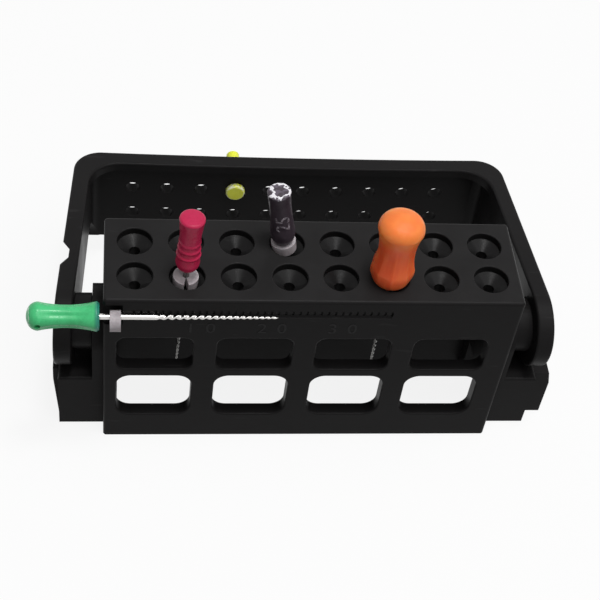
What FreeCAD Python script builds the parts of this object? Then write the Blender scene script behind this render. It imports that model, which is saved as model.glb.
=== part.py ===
"""Root canal file holder: a moulded rack with a hinged cover, loaded with four files.

Millimetres. X runs along the rack, Y from its front to its back, Z up.
The pieces are built about the middle of the rack's footprint, and then moved back together, so that
the origin is the middle of the front wall's foot, on the surface that the rack stands on.
"""
import FreeCAD
import Part
import math
import os

from FreeCAD import Placement, Rotation, Vector

# Rack body
RACK_LENGTH = 59.0
RACK_DEPTH = 15.8
RACK_HEIGHT = 31.0
WALL = 2.0
TOP_THICKNESS = 4.6
RACK_EDGE_ROUND = 0.5

# Cups in the top plate
CUP_COLUMNS = 8
CUP_ROWS = 2
CUP_PITCH_X = 7.2
CUP_PITCH_Y = 6.5
CUP_RADIUS = 2.5
CUP_STRAIGHT = 1.15
CUP_LIP_ROUND = 0.2
CUP_CONE_DEPTH = 0.9
GUIDE_RADIUS = 0.8

# Windows in the front wall
WINDOW_COLUMNS = 4
WINDOW_PITCH = 14.2
WINDOW_WIDTH = 10.9
WINDOW_SHIFT = -0.9
LOWER_SILL = 5.2
LOWER_HEIGHT = 9.2
MIDDLE_BAR = 1.6
UPPER_HEIGHT = 7.0
LOWER_CORNER = 2.2
UPPER_CORNER = 1.5
WINDOW_EDGE_ROUND = 0.25

# Hinge posts, pedestals and their side ribs
POST_THICKNESS = 1.6
POST_HALF_DEPTH = 5.5
HINGE_HEIGHT = 17.4
PEDESTAL_REACH = 6.6
PEDESTAL_HEIGHT = 10.8
LEFT_RIB_FOOT = 0.15
LEFT_RIB_REACH = 0.8
LEFT_RIB_HEIGHT = 10.4
RIGHT_RIB_FOOT = 3.2
RIGHT_RIB_REACH = 2.7
RIGHT_RIB_HEIGHT = 9.6
RIB_SHOULDER_DROP = 2.4
RIB_SETBACK = 2.1
PEDESTAL_EDGE_ROUND = 0.4

# Hinge between the stub axles of the rack and the hubs of the cover
AXLE_RADIUS = 2.0
BORE_CLEARANCE = 0.06
HUB_RADIUS = 4.1
HUB_FACE_CLEARANCE = 0.1
AXLE_LENGTH = 3.0
AXLE_END_CLEARANCE = 0.25

# Cover
ARM_END_RADIUS = 6.4
ARM_THICKNESS = 2.6
HINGE_HALF_WIDTH = 36.25
ARM_FLARE_DEG = 3.7
COVER_REACH = 31.9
REAR_TOP_DROP = 2.6
PANEL_DROP = 13.2
PANEL_THICKNESS = 2.0
PANEL_BOW = 0.5
RIM_STEP = 0.8
RIM_LIP = 1.3
SIDE_WALL_DEPTH = 2.2
SIDE_WALL_CORNER = 6.5
REAR_CORNER_OUTER = 4.2
RIM_CORNER = 5.0
PANEL_CORNER = 1.5
COVER_EDGE_ROUND = 0.4
VENT_COLUMNS = 10
VENT_PITCH = 5.5
VENT_SHIFT = -0.5
VENT_RADIUS = 1.1
VENT_TOP_ROW_DROP = 1.9
ARM_NOTCH_FLOOR = 1.6
ARM_NOTCH_FLANK = 1.5
ARM_NOTCH_DEPTH = 1.1
ARM_NOTCH_FROM_HINGE = 7.4
ARM_NOTCH_SLANT_DEG = 42.0

# Measuring groove and its scale
GROOVE_BELOW_TOP = 3.0
GROOVE_CLEARANCE = 0.12
GROOVE_LENGTH = 40.2
LYING_AXIS_OUT = 0.3
TICK_PITCH = 1.0
TICK_WIDTH = 0.3
TICK_HEIGHT = 0.45
TICK_DEPTH = 0.35
TICK_START = 4.2
POCKET_CLEARANCE = 0.25

# Files: blade and stop
SHANK_RADIUS = 0.42
TIP_RADIUS = 0.16
LYING_BLADE_LENGTH = 24.6
STANDING_BLADE_LENGTH = 21.0
FLUTE_LENGTH = 17.3
TANG_LENGTH = 6.0
TANG_CLEARANCE = 0.01
STOP_RADIUS = 1.78
STOP_THICKNESS = 1.5
STOP_BORE_CLEARANCE = 0.02
STOP_NOTCH_DEPTH = 1.5
STOP_NOTCH_HALF_WIDTH = 0.45
STOP_NOTCH_TURN_DEG = 150.0
STOP_SEAT_CLEARANCE = 0.12
PINK_STOP_TO_HANDLE = 1.4
VIOLET_STOP_TO_HANDLE = 0.1
LYING_STOP_RADIUS = 1.53
LYING_STOP_HANG = 0.58
LYING_STOP_TURN_DEG = -45.0

# Handles: foot, bulge, waist and head radii, and their heights above the foot
PINK_HANDLE = (10.2, 0.95, 1.68, 2.0, 1.46, 5.4, 1.78)
VIOLET_HANDLE = (10.0, 1.35, 1.78, 2.3, 1.58, 6.0, 1.68)
GREEN_HANDLE = (9.9, 1.95, 2.05, 0.6, 1.6, 4.6, 2.0)
ORANGE_HANDLE = (12.2, 2.55, 3.15, 2.7, 2.66, 5.9, 3.25)
SMALL_HEAD_ROUND = 0.4
SMALL_CROWN_RADIUS = 12.0
GREEN_HEAD_ROUND = 1.5
GREEN_CROWN_RADIUS = 2.6
LARGE_HEAD_ROUND = 1.9
LARGE_CROWN_RADIUS = 5.0
LARGE_HANDLE_GAP = 0.1
GRIP_RINGS = 3
GRIP_RING_PITCH = 1.2
GRIP_RING_START = 3.2
GRIP_RING_SECTION = 0.3
GRIP_RING_PROUD = 0.05
GRIP_RING_TAPER = 0.09
CORD_HOLE_RADIUS = 0.4
CORD_HOLE_FROM_TOP = 1.6

# Where the files stand: columns of the cups, leans towards the left, and play in the guide holes
PINK_COLUMN = 2
ORANGE_COLUMN = 6
VIOLET_COLUMN = 4
PINK_LEAN_DEG = -2.0
ORANGE_LEAN_DEG = -0.3
VIOLET_LEAN_DEG = 8.9
UPRIGHT_SHIFT = -0.3
VIOLET_LIFT = 0.55
LYING_HANDLE_GAP = 0.45
LYING_STOP_INSET = 0.95

# Plug in a vent hole
PLUG_COLUMN = 4
PLUG_HEAD_RADIUS = 1.55
PLUG_HEAD_THICKNESS = 0.8
PLUG_HEAD_ROUND = 0.35
PLUG_SEAT_CLEARANCE = 0.03
PLUG_STEM_CLEARANCE = 0.05
PLUG_TAIL = 6.2

HALF_LENGTH = RACK_LENGTH / 2
HALF_DEPTH = RACK_DEPTH / 2
UP = Vector(0, 0, 1)
ALONG = Vector(1, 0, 0)
BACK = Vector(0, 1, 0)
OVERCUT = 1.0
NEAR = 0.000001
CORNER_STEPS = 12


def block(x_low, x_high, y_low, y_high, z_low, z_high):
    """A box between two corners."""
    size = (x_high - x_low, y_high - y_low, z_high - z_low)
    return Part.makeBox(size[0], size[1], size[2], Vector(x_low, y_low, z_low))


def edges_where(shape, test):
    """The edges of a shape whose middle point passes a test."""
    chosen = []
    for edge in shape.Edges:
        middle = edge.valueAt((edge.FirstParameter + edge.LastParameter) / 2)
        if test(edge, middle):
            chosen.append(edge)
    return chosen


def closed_face(edges):
    """A flat face inside a ring of edges."""
    return Part.Face(Part.Wire(Part.__sortEdges__(edges)))


def line(start, end):
    return Part.LineSegment(start, end).toShape()


def arc(start, middle, end):
    return Part.Arc(start, middle, end).toShape()


def turned(edges):
    """A solid turned about the Z axis from a closed half profile in the XZ plane."""
    solid = closed_face(edges).revolve(Vector(0, 0, 0), UP, 360)
    return solid if solid.Volume > 0 else solid.reversed()


def rounded_prism_y(x_middle, z_low, width, height, corner, y_low, y_high):
    """A prism along Y with a rounded rectangle as its section."""
    prism = block(x_middle - width / 2, x_middle + width / 2, y_low, y_high, z_low, z_low + height)
    long_edges = edges_where(prism, lambda edge, mid: abs(mid.y - (y_low + y_high) / 2) < NEAR)
    return prism.makeFillet(corner, long_edges)


def cup_column_x(column):
    """X of a cup column, counted from 1 at the left."""
    return (column - (CUP_COLUMNS + 1) / 2) * CUP_PITCH_X


def cup_row_y(row):
    """Y of a cup row, counted from 1 at the front."""
    return (row - (CUP_ROWS + 1) / 2) * CUP_PITCH_Y


FRONT_ROW_Y = cup_row_y(1)
BACK_ROW_Y = cup_row_y(CUP_ROWS)


def cone_floor():
    """Height of the bottom of the cups' cones."""
    return RACK_HEIGHT - CUP_STRAIGHT - CUP_CONE_DEPTH


def cup_height_at(radius):
    """Height at which a cup's cone has a given radius."""
    slope = CUP_CONE_DEPTH / (CUP_RADIUS - GUIDE_RADIUS)
    return cone_floor() + (radius - GUIDE_RADIUS) * slope


# Rack

def cup_cutter():
    """Cone, rounded mouth and guide hole of one cup, on the Z axis."""
    above = RACK_HEIGHT + OVERCUT
    below = RACK_HEIGHT - TOP_THICKNESS - OVERCUT
    lip_top = Vector(CUP_RADIUS + CUP_LIP_ROUND, 0, RACK_HEIGHT)
    lip_foot = Vector(CUP_RADIUS, 0, RACK_HEIGHT - CUP_LIP_ROUND)
    lean = CUP_LIP_ROUND * (1 - math.sqrt(0.5))
    lip_middle = Vector(CUP_RADIUS + lean, 0, RACK_HEIGHT - lean)
    outline = [Vector(CUP_RADIUS + CUP_LIP_ROUND, 0, above), Vector(0, 0, above), Vector(0, 0, below),
               Vector(GUIDE_RADIUS, 0, below), Vector(GUIDE_RADIUS, 0, cone_floor()),
               Vector(CUP_RADIUS, 0, RACK_HEIGHT - CUP_STRAIGHT), lip_foot]
    edges = [line(a, b) for a, b in zip(outline, outline[1:])]
    edges.append(arc(lip_foot, lip_middle, lip_top))
    edges.append(line(lip_top, outline[0]))
    return turned(edges)


def window_frames():
    """Middle X, sill height, height and corner of every window."""
    upper_sill = LOWER_SILL + LOWER_HEIGHT + MIDDLE_BAR
    frames = []
    for column in range(WINDOW_COLUMNS):
        x_middle = WINDOW_SHIFT + (column - (WINDOW_COLUMNS - 1) / 2) * WINDOW_PITCH
        frames.append((x_middle, LOWER_SILL, LOWER_HEIGHT, LOWER_CORNER))
        frames.append((x_middle, upper_sill, UPPER_HEIGHT, UPPER_CORNER))
    return frames


def hinge_side(side, rib_foot, rib_reach, rib_height):
    """Post, pedestal, rib and stub axle on one side; side is -1 on the left, 1 on the right."""
    inner = HALF_LENGTH - WALL / 2
    post_face = HALF_LENGTH + POST_THICKNESS
    pedestal_face = HALF_LENGTH + PEDESTAL_REACH
    post = block(inner, post_face, -POST_HALF_DEPTH, POST_HALF_DEPTH, 0, HINGE_HEIGHT)
    crown = Part.makeCylinder(POST_HALF_DEPTH, post_face - inner, Vector(inner, 0, HINGE_HEIGHT), ALONG)
    pedestal = block(inner, pedestal_face, -POST_HALF_DEPTH, POST_HALF_DEPTH, 0, PEDESTAL_HEIGHT)
    pedestal = pedestal.makeFillet(PEDESTAL_EDGE_ROUND, edges_where(
        pedestal, lambda edge, mid: mid.z > PEDESTAL_HEIGHT - NEAR and mid.x > inner + NEAR))
    rib_half = POST_HALF_DEPTH - RIB_SETBACK
    rib_shoulder = max(rib_foot, rib_reach)
    section = [Vector(pedestal_face - WALL / 2, -rib_half, 0), Vector(pedestal_face + rib_foot, -rib_half, 0),
               Vector(pedestal_face + rib_shoulder, -rib_half, rib_height - RIB_SHOULDER_DROP),
               Vector(pedestal_face + rib_reach, -rib_half, rib_height),
               Vector(pedestal_face - WALL / 2, -rib_half, rib_height)]
    rib = closed_face([line(a, b) for a, b in zip(section, section[1:] + section[:1])])
    rib = rib.extrude(BACK * (2 * rib_half))
    axle_end = post_face + AXLE_LENGTH
    axle = Part.makeCylinder(AXLE_RADIUS, axle_end - inner, Vector(inner, 0, HINGE_HEIGHT), ALONG)
    whole = post.fuse([crown, pedestal, rib, axle])
    return whole if side > 0 else whole.mirror(Vector(0, 0, 0), ALONG)


def lying_axis():
    """Point on the axis of the file that lies in the groove, at the rack's left face."""
    return Vector(-HALF_LENGTH, -HALF_DEPTH - LYING_AXIS_OUT, RACK_HEIGHT - GROOVE_BELOW_TOP)


def groove_cutters():
    """Groove for a lying blade, pocket for its stop, and the scale's ticks above the groove."""
    axis = lying_axis()
    radius = SHANK_RADIUS + GROOVE_CLEARANCE
    groove = Part.makeCylinder(radius, GROOVE_LENGTH + OVERCUT, axis - ALONG * OVERCUT, ALONG)
    pocket_radius = STOP_RADIUS + POCKET_CLEARANCE
    pocket_end = LYING_STOP_INSET + STOP_THICKNESS + POCKET_CLEARANCE
    pocket = Part.makeCylinder(pocket_radius, pocket_end + OVERCUT, axis - ALONG * OVERCUT, ALONG)
    cutters = [groove, pocket]
    for tick in range(int((GROOVE_LENGTH - TICK_START) / TICK_PITCH) + 1):
        x_middle = axis.x + TICK_START + tick * TICK_PITCH
        cutters.append(block(x_middle - TICK_WIDTH / 2, x_middle + TICK_WIDTH / 2,
                             -HALF_DEPTH - OVERCUT, -HALF_DEPTH + TICK_DEPTH,
                             axis.z, axis.z + radius + TICK_HEIGHT))
    return cutters


def rack_block():
    """The rack moulding."""
    shell = block(-HALF_LENGTH, HALF_LENGTH, -HALF_DEPTH, HALF_DEPTH, 0, RACK_HEIGHT)
    shell = shell.makeFillet(RACK_EDGE_ROUND, edges_where(shell, lambda edge, mid: mid.z > NEAR))
    solid = shell.fuse([hinge_side(-1, LEFT_RIB_FOOT, LEFT_RIB_REACH, LEFT_RIB_HEIGHT),
                        hinge_side(1, RIGHT_RIB_FOOT, RIGHT_RIB_REACH, RIGHT_RIB_HEIGHT)])
    cavity = block(WALL - HALF_LENGTH, HALF_LENGTH - WALL, WALL - HALF_DEPTH, HALF_DEPTH - WALL,
                   -OVERCUT, RACK_HEIGHT - TOP_THICKNESS)
    pedestal_inner = HALF_LENGTH + PEDESTAL_REACH - WALL
    pedestal_cavity = block(-pedestal_inner, pedestal_inner, WALL - POST_HALF_DEPTH, POST_HALF_DEPTH - WALL,
                            -OVERCUT, PEDESTAL_HEIGHT - WALL)
    solid = solid.cut([cavity, pedestal_cavity])
    windows = []
    for x_middle, sill, height, corner in window_frames():
        windows.append(rounded_prism_y(x_middle, sill, WINDOW_WIDTH, height, corner,
                                       -HALF_DEPTH - OVERCUT, -HALF_DEPTH + WALL + OVERCUT))
    solid = solid.cut(windows)
    window_end = WINDOW_SHIFT + WINDOW_COLUMNS * WINDOW_PITCH / 2
    window_top = LOWER_SILL + LOWER_HEIGHT + MIDDLE_BAR + UPPER_HEIGHT
    mouths = edges_where(solid, lambda edge, mid: abs(mid.y + HALF_DEPTH) < NEAR
                         and abs(mid.x) < window_end + 2 * abs(WINDOW_SHIFT)
                         and LOWER_SILL - NEAR < mid.z < window_top + NEAR)
    solid = solid.makeFillet(WINDOW_EDGE_ROUND, mouths)
    cup = cup_cutter()
    cups = []
    for column in range(1, CUP_COLUMNS + 1):
        for row in range(1, CUP_ROWS + 1):
            placed = cup.copy()
            placed.translate(Vector(cup_column_x(column), cup_row_y(row), 0))
            cups.append(placed)
    return solid.cut(cups + groove_cutters())


# Cover

def arm_half_width(y):
    """Half of the cover's outer width at a distance behind the hinge axis."""
    return HINGE_HALF_WIDTH - y * math.tan(math.radians(ARM_FLARE_DEG))


def bowed_y(x, rear):
    """Y of an upright rear wall at a given X; its middle bows towards the rack."""
    half = arm_half_width(COVER_REACH)
    bow_radius = (half ** 2 + PANEL_BOW ** 2) / (2 * PANEL_BOW)
    return rear - PANEL_BOW + bow_radius - math.sqrt(bow_radius ** 2 - x ** 2)


def rear_corner(inset_side, rear):
    """Point where a tapering side, set in from the outside, meets the bowed rear."""
    y = rear
    for _ in range(CORNER_STEPS):
        y = bowed_y(arm_half_width(y) - inset_side, rear)
    return arm_half_width(y) - inset_side, y


def cover_ring(inset_side, rear, corner, top):
    """Upright prism with sides that taper inwards to a bowed rear, and rounded rear corners."""
    front = -ARM_END_RADIUS - OVERCUT
    low = HINGE_HEIGHT - PANEL_DROP - OVERCUT
    front_half = arm_half_width(front) - inset_side
    rear_half, rear_y = rear_corner(inset_side, rear)
    front_left = Vector(-front_half, front, low)
    front_right = Vector(front_half, front, low)
    rear_right = Vector(rear_half, rear_y, low)
    rear_left = Vector(-rear_half, rear_y, low)
    rear_middle = Vector(0, bowed_y(0, rear), low)
    prism = closed_face([line(front_left, front_right), line(front_right, rear_right),
                         arc(rear_right, rear_middle, rear_left), line(rear_left, front_left)])
    prism = prism.extrude(UP * (top - low))
    rear_edges = edges_where(prism, lambda edge, mid: abs(mid.z - (low + top) / 2) < NEAR and mid.y > 0)
    return prism.makeFillet(corner, rear_edges)


def cover_side_view():
    """Prism along X of the cover's outline seen from the side."""
    half = HINGE_HALF_WIDTH + RACK_DEPTH
    hinge = Vector(-half, 0, HINGE_HEIGHT)
    rear_top = Vector(-half, COVER_REACH, HINGE_HEIGHT + ARM_END_RADIUS - REAR_TOP_DROP)
    reach = rear_top - hinge
    turn = math.atan2(reach.z, reach.y) + math.acos(ARM_END_RADIUS / reach.Length)
    round_top = hinge + Vector(0, math.cos(turn), math.sin(turn)) * ARM_END_RADIUS
    round_front = hinge - BACK * ARM_END_RADIUS
    round_foot = hinge - UP * ARM_END_RADIUS
    wall_y = COVER_REACH - SIDE_WALL_DEPTH
    step_start = Vector(-half, wall_y - SIDE_WALL_CORNER, round_foot.z)
    step_end = Vector(-half, wall_y, round_foot.z - SIDE_WALL_CORNER)
    bend = SIDE_WALL_CORNER * math.sqrt(0.5)
    step_middle = step_start + Vector(0, bend, bend - SIDE_WALL_CORNER)
    wall_foot = Vector(-half, wall_y, HINGE_HEIGHT - PANEL_DROP)
    rear_foot = Vector(-half, COVER_REACH, HINGE_HEIGHT - PANEL_DROP)
    profile = closed_face([
        line(rear_top, round_top), arc(round_top, round_front, round_foot),
        line(round_foot, step_start), arc(step_start, step_middle, step_end),
        line(step_end, wall_foot), line(wall_foot, rear_foot), line(rear_foot, rear_top)])
    return profile.extrude(ALONG * (2 * half))


def vent_rows():
    """Heights of the two rows of vent holes."""
    top_row = HINGE_HEIGHT - VENT_TOP_ROW_DROP
    return (top_row, top_row - VENT_PITCH)


def vent_column_x(column):
    """X of a vent column, counted from 1 at the left."""
    return VENT_SHIFT + (column - (VENT_COLUMNS + 1) / 2) * VENT_PITCH


def panel_front_y():
    return COVER_REACH - PANEL_THICKNESS


def cover_body():
    """The cover moulding, swung open behind the rack."""
    rim_front = panel_front_y() - RIM_STEP
    above = HINGE_HEIGHT + ARM_END_RADIUS + OVERCUT
    ring = cover_ring(0, COVER_REACH, REAR_CORNER_OUTER, above)
    ring = ring.cut(cover_ring(ARM_THICKNESS, rim_front, RIM_CORNER, above))
    solid = ring.common(cover_side_view())
    rims = edges_where(solid, lambda edge, mid: edge.Length > ARM_THICKNESS + COVER_EDGE_ROUND
                       and (mid.z > HINGE_HEIGHT + ARM_END_RADIUS / 3 or mid.y < 0))
    solid = solid.makeFillet(COVER_EDGE_ROUND, rims)
    lip_foot = HINGE_HEIGHT + ARM_END_RADIUS - REAR_TOP_DROP - RIM_LIP
    solid = solid.cut([cover_ring(ARM_THICKNESS, panel_front_y(), PANEL_CORNER, lip_foot)])
    post_face = HALF_LENGTH + POST_THICKNESS
    hub_start = post_face + HUB_FACE_CLEARANCE
    hub_end = HINGE_HALF_WIDTH - ARM_THICKNESS / 2
    bore = AXLE_RADIUS + BORE_CLEARANCE
    bore_end = post_face + AXLE_LENGTH + AXLE_END_CLEARANCE
    additions = []
    cutters = []
    for side in (-1, 1):
        outward = ALONG * side
        hub_base = outward * hub_start + UP * HINGE_HEIGHT
        additions.append(Part.makeCylinder(HUB_RADIUS, hub_end - hub_start, hub_base, outward))
        cutters.append(Part.makeCylinder(bore, bore_end - post_face, outward * post_face + UP * HINGE_HEIGHT,
                                         outward))
    for height in vent_rows():
        for column in range(1, VENT_COLUMNS + 1):
            start = Vector(vent_column_x(column), rim_front - OVERCUT, height)
            cutters.append(Part.makeCylinder(VENT_RADIUS, COVER_REACH, start, BACK))
    cutters.append(arm_notch())
    return solid.fuse(additions).cut(cutters)


def arm_notch():
    """Notch with sloping flanks in the outside of the left arm; it runs backwards on its way down."""
    x_outer = -arm_half_width(ARM_NOTCH_FROM_HINGE)
    slope = math.tan(math.radians(ARM_FLARE_DEG))
    slant = math.tan(math.radians(ARM_NOTCH_SLANT_DEG))
    down = Vector(slope * slant, slant, -1)
    half = ARM_NOTCH_FLOOR / 2
    mouth = half + ARM_NOTCH_FLANK * (1 + OVERCUT / ARM_NOTCH_DEPTH)
    corners = ((-mouth, -OVERCUT), (-half, ARM_NOTCH_DEPTH), (half, ARM_NOTCH_DEPTH), (mouth, -OVERCUT))
    outline = []
    for along, deep in corners:
        outline.append(Vector(x_outer + along * slope + deep, ARM_NOTCH_FROM_HINGE + along,
                              HINGE_HEIGHT + ARM_END_RADIUS) - down * OVERCUT)
    face = closed_face([line(a, b) for a, b in zip(outline, outline[1:] + outline[:1])])
    return face.extrude(down * (2 * ARM_END_RADIUS + 2 * OVERCUT))


def marker_plug():
    """Plug in the top vent row: head in front of the panel, stem through it, tail behind."""
    x = vent_column_x(PLUG_COLUMN)
    seat = bowed_y(abs(x) - PLUG_HEAD_RADIUS, panel_front_y()) - PLUG_SEAT_CLEARANCE
    front = Vector(x, seat - PLUG_HEAD_THICKNESS, vent_rows()[0])
    head = Part.makeCylinder(PLUG_HEAD_RADIUS, PLUG_HEAD_THICKNESS, front, BACK)
    head = head.makeFillet(PLUG_HEAD_ROUND, edges_where(
        head, lambda edge, mid: abs(mid.y - front.y) < NEAR and edge.Length > PLUG_HEAD_RADIUS))
    stem_length = PLUG_HEAD_THICKNESS + PANEL_THICKNESS + PLUG_TAIL
    stem = Part.makeCylinder(VENT_RADIUS - PLUG_STEM_CLEARANCE, stem_length, front, BACK)
    return head.fuse(stem)


# Files, each built with its handle's foot at the origin, blade down and handle up

def blade(length):
    """Steel shank with its tapered working part; the tang reaches up into the handle."""
    shank_end = FLUTE_LENGTH - length
    outline = [Vector(0, 0, TANG_LENGTH), Vector(0, 0, -length), Vector(TIP_RADIUS, 0, -length),
               Vector(SHANK_RADIUS, 0, shank_end), Vector(SHANK_RADIUS, 0, TANG_LENGTH)]
    return turned([line(a, b) for a, b in zip(outline, outline[1:] + outline[:1])])


def stop(radius, notch_turn_deg, hang):
    """Notched silicone stop, its lower face at the origin; it hangs off centre by a distance."""
    disc = Part.makeCylinder(radius, STOP_THICKNESS)
    bore = Part.makeCylinder(SHANK_RADIUS + STOP_BORE_CLEARANCE, STOP_THICKNESS + 2 * OVERCUT,
                             Vector(0, hang, -OVERCUT))
    corners = [Vector(0, STOP_NOTCH_DEPTH - radius, -OVERCUT),
               Vector(STOP_NOTCH_HALF_WIDTH, -radius - OVERCUT / 4, -OVERCUT),
               Vector(-STOP_NOTCH_HALF_WIDTH, -radius - OVERCUT / 4, -OVERCUT)]
    notch = closed_face([line(a, b) for a, b in zip(corners, corners[1:] + corners[:1])])
    notch = notch.extrude(UP * (STOP_THICKNESS + 2 * OVERCUT))
    solid = disc.cut([bore, notch])
    solid.translate(Vector(0, -hang, 0))
    solid.rotate(Vector(0, 0, 0), UP, notch_turn_deg)
    return solid


def handle(size, head_round, crown_radius):
    """Waisted plastic handle with a domed head and a socket for the tang."""
    length, foot, bulge, bulge_z, waist, waist_z, head = size
    to_round = head - head_round
    turn = math.acos(to_round / (crown_radius - head_round))
    head_z = length - crown_radius + (crown_radius - head_round) * math.sin(turn)
    crown_centre_z = length - crown_radius
    foot_point = Vector(foot, 0, 0)
    bulge_point = Vector(bulge, 0, bulge_z)
    foot_swell = Vector((foot + 3 * bulge) / 4, 0, bulge_z * 0.4)
    head_point = Vector(head, 0, head_z)
    round_middle = Vector(to_round + head_round * math.cos(turn / 2), 0,
                          head_z + head_round * math.sin(turn / 2))
    round_end = Vector(to_round + head_round * math.cos(turn), 0, head_z + head_round * math.sin(turn))
    crown_turn = (turn + math.pi / 2) / 2
    crown_middle = Vector(crown_radius * math.cos(crown_turn), 0,
                          crown_centre_z + crown_radius * math.sin(crown_turn))
    crown_top = Vector(0, 0, length)
    solid = turned([
        line(Vector(0, 0, 0), foot_point), arc(foot_point, foot_swell, bulge_point),
        arc(bulge_point, Vector(waist, 0, waist_z), head_point), arc(head_point, round_middle, round_end),
        arc(round_end, crown_middle, crown_top), line(crown_top, Vector(0, 0, 0))])
    socket = Part.makeCylinder(SHANK_RADIUS + TANG_CLEARANCE, TANG_LENGTH + OVERCUT + TANG_CLEARANCE,
                               Vector(0, 0, -OVERCUT))
    return solid.cut(socket)


def pink_handle():
    """Small handle with grip rings above its bulge."""
    rings = []
    for ring in range(GRIP_RINGS):
        ring_radius = PINK_HANDLE[2] + GRIP_RING_PROUD - GRIP_RING_SECTION - ring * GRIP_RING_TAPER
        height = GRIP_RING_START + ring * GRIP_RING_PITCH
        rings.append(Part.makeTorus(ring_radius, GRIP_RING_SECTION, Vector(0, 0, height)))
    return handle(PINK_HANDLE, SMALL_HEAD_ROUND, SMALL_CROWN_RADIUS).fuse(rings)


def green_handle():
    """Small handle with a cross hole near its end for a safety cord."""
    length = GREEN_HANDLE[0]
    reach = GREEN_HANDLE[6] + OVERCUT
    start = Vector(0, -reach, length - CORD_HOLE_FROM_TOP)
    hole = Part.makeCylinder(CORD_HOLE_RADIUS, 2 * reach, start, BACK)
    return handle(GREEN_HANDLE, GREEN_HEAD_ROUND, GREEN_CROWN_RADIUS).cut(hole)


def placed(shape, placement):
    moved = shape.copy()
    moved.Placement = placement.multiply(moved.Placement)
    return moved


def stop_seat_height():
    """Height of the lower face of a stop that sits in a cup's cone."""
    return cup_height_at(STOP_RADIUS) + STOP_SEAT_CLEARANCE


def standing_file(column, row_y, foot_height, lean_deg, shift):
    """Place of a file in a cup; it leans about a point in the cup's guide hole."""
    pivot_height = (cone_floor() + RACK_HEIGHT - TOP_THICKNESS) / 2
    pivot = Vector(cup_column_x(column) + shift, row_y, pivot_height)
    tilt = Rotation(BACK, -lean_deg)
    return Placement(pivot + tilt.multVec(UP * (foot_height - pivot_height)), tilt)


def pieces():
    """Every node's name with its solid."""
    stop_low = stop_seat_height()
    pink_gap = PINK_STOP_TO_HANDLE + STOP_THICKNESS
    violet_gap = VIOLET_STOP_TO_HANDLE + STOP_THICKNESS
    lying_gap = LYING_HANDLE_GAP + LYING_STOP_INSET + STOP_THICKNESS
    violet_low = stop_low + VIOLET_LIFT
    orange_low = RACK_HEIGHT + LARGE_HANDLE_GAP
    pink = standing_file(PINK_COLUMN, FRONT_ROW_Y, stop_low + pink_gap, PINK_LEAN_DEG, UPRIGHT_SHIFT)
    violet = standing_file(VIOLET_COLUMN, BACK_ROW_Y, violet_low + violet_gap, VIOLET_LEAN_DEG, 0)
    orange = standing_file(ORANGE_COLUMN, FRONT_ROW_Y, orange_low, ORANGE_LEAN_DEG, UPRIGHT_SHIFT)
    lying = Placement(lying_axis() - ALONG * LYING_HANDLE_GAP, Rotation(BACK, -90))

    def below(gap):
        return Placement(UP * -gap, Rotation())

    small_head = (SMALL_HEAD_ROUND, SMALL_CROWN_RADIUS)
    lying_stop = stop(LYING_STOP_RADIUS, LYING_STOP_TURN_DEG, LYING_STOP_HANG)
    built = {
        "rack_block": rack_block(),
        "cover": cover_body(),
        "marker_plug": marker_plug(),
        "pink_handle": placed(pink_handle(), pink),
        "pink_blade": placed(blade(STANDING_BLADE_LENGTH), pink),
        "pink_stop": placed(stop(STOP_RADIUS, 0, 0), pink.multiply(below(pink_gap))),
        "violet_handle": placed(handle(VIOLET_HANDLE, *small_head), violet),
        "violet_blade": placed(blade(STANDING_BLADE_LENGTH), violet),
        "violet_stop": placed(stop(STOP_RADIUS, STOP_NOTCH_TURN_DEG, 0), violet.multiply(below(violet_gap))),
        "orange_handle": placed(handle(ORANGE_HANDLE, LARGE_HEAD_ROUND, LARGE_CROWN_RADIUS), orange),
        "orange_blade": placed(blade(STANDING_BLADE_LENGTH), orange),
        "green_handle": placed(green_handle(), lying),
        "green_blade": placed(blade(LYING_BLADE_LENGTH), lying),
        "green_stop": placed(lying_stop, lying.multiply(below(lying_gap))),
    }
    to_front_foot = Placement(BACK * (HALF_DEPTH - WALL / 2), Rotation())
    return {name: placed(shape, to_front_foot) for name, shape in built.items()}


def main():
    os.makedirs("parts", exist_ok=True)
    for name, shape in pieces().items():
        shape.exportStep("parts/" + name + ".step")
        box = shape.BoundBox
        print(name, "solids", len(shape.Solids), "valid", shape.isValid(), "volume", round(shape.Volume, 3),
              "x", round(box.XMin, 2), round(box.XMax, 2), "y", round(box.YMin, 2), round(box.YMax, 2),
              "z", round(box.ZMin, 2), round(box.ZMax, 2))


main()
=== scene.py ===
"""Looks of a root canal file holder, dressed over its CAD frame.

X runs along the rack, Y from its front to its back, Z up, as in the frame. Named sizes are in
millimetres unless they say otherwise, and MM takes them to Blender's metres.
"""
import bmesh
import bpy
import math
import numpy as np
from collections import namedtuple
from mathutils import Euler, Matrix, Vector

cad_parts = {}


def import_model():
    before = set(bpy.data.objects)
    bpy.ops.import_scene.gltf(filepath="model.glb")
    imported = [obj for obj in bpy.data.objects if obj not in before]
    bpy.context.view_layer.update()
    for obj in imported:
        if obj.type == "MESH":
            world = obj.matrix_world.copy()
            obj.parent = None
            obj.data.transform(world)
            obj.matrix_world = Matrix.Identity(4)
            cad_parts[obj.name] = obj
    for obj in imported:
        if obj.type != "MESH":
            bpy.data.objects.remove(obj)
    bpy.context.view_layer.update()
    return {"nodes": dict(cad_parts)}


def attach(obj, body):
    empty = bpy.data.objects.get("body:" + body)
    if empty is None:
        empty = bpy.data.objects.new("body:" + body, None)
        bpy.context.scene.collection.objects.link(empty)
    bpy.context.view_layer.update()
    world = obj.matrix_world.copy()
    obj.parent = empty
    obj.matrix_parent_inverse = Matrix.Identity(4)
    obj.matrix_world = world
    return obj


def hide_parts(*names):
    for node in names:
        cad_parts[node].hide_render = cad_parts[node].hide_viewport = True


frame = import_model()

MM = 0.001
NEAR = 0.000001

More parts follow.
